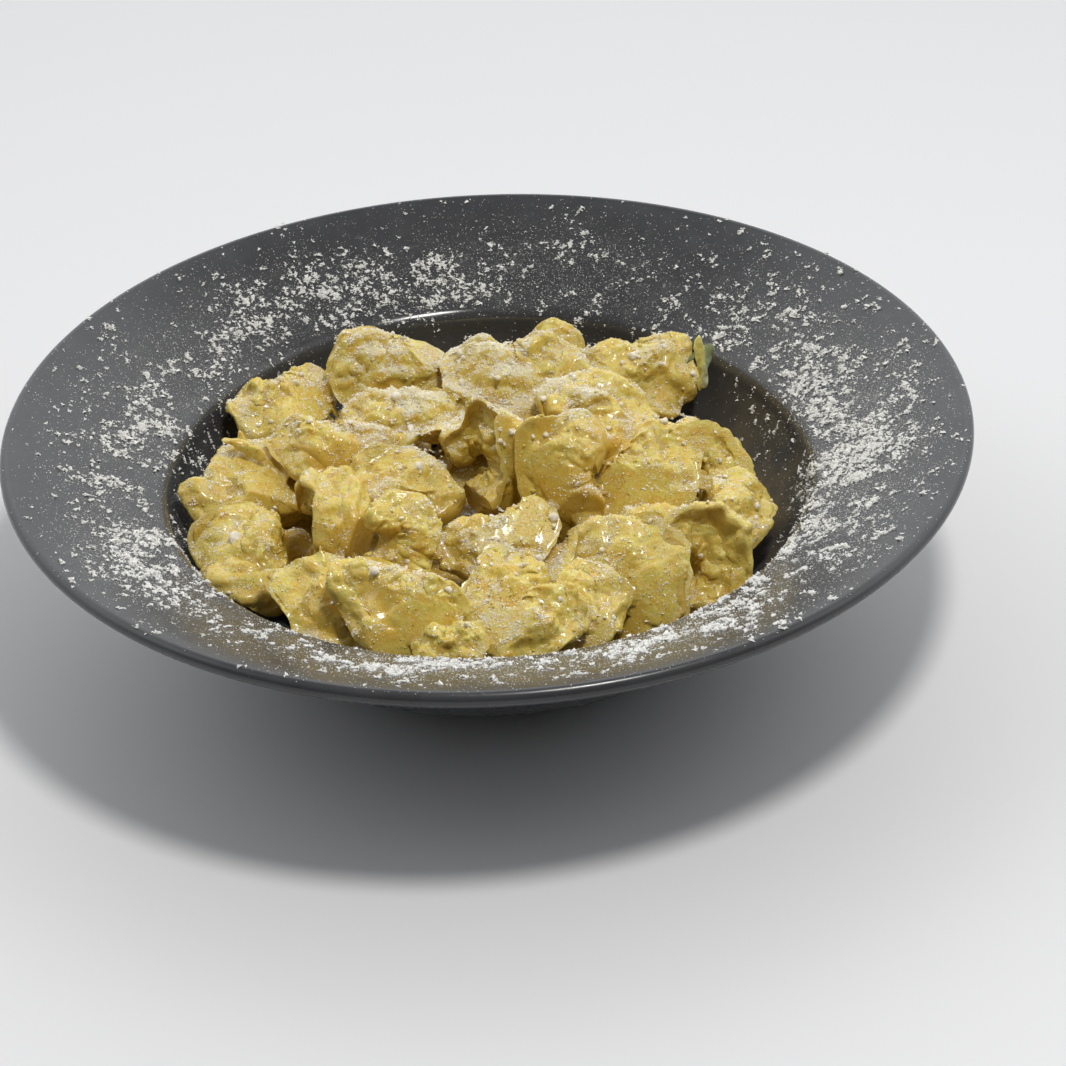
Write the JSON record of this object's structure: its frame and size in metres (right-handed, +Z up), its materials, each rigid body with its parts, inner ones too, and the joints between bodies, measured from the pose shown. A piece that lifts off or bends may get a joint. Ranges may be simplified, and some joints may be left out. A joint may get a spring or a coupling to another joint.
{
  "type": "bowl of tortellini",
  "caption": "Wide-rimmed glazed pasta bowl holding a low heap of folded, filled dumplings in creamy sauce; the shallow rim is dusted with grated cheese.",
  "frame": {"origin": "middle of the foot ring's flat underside, which is also the bottom centre of the bounding box", "axes": "+Z up along the bowl's turning axis; -Y towards the front of the heap, +X to its right"},
  "size_m": [0.27, 0.27, 0.062],
  "materials": {
    "grey_glaze": "satin stoneware glaze, dark grey",
    "pasta": "moist golden egg dough under a creamy yellow sauce",
    "sauce": "thick creamy yellow sauce"
  },
  "bodies": {
    "root": {"bowl": "grey_glaze", "sauce_bed": "sauce", "tortellino_01": "pasta", "tortellino_02": "pasta", "tortellino_03": "pasta", "tortellino_04": "pasta", "tortellino_05": "pasta", "tortellino_06": "pasta", "tortellino_07": "pasta", "tortellino_08": "pasta", "tortellino_09": "pasta", "tortellino_10": "pasta", "tortellino_11": "pasta", "tortellino_12": "pasta", "tortellino_13": "pasta", "tortellino_14": "pasta", "tortellino_15": "pasta", "tortellino_16": "pasta", "tortellino_17": "pasta", "tortellino_18": "pasta", "tortellino_19": "pasta", "tortellino_20": "pasta", "tortellino_21": "pasta", "tortellino_22": "pasta", "tortellino_23": "pasta", "tortellino_24": "pasta", "tortellino_25": "pasta", "tortellino_26": "pasta", "tortellino_27": "pasta", "tortellino_28": "pasta", "tortellino_29": "pasta", "tortellino_30": "pasta", "tortellino_31": "pasta", "tortellino_32": "pasta", "tortellino_33": "pasta", "tortellino_34": "pasta", "tortellino_35": "pasta", "tortellino_36": "pasta", "tortellino_37": "pasta", "tortellino_38": "pasta", "tortellino_39": "pasta", "tortellino_40": "pasta"}
  },
  "joints": []
}
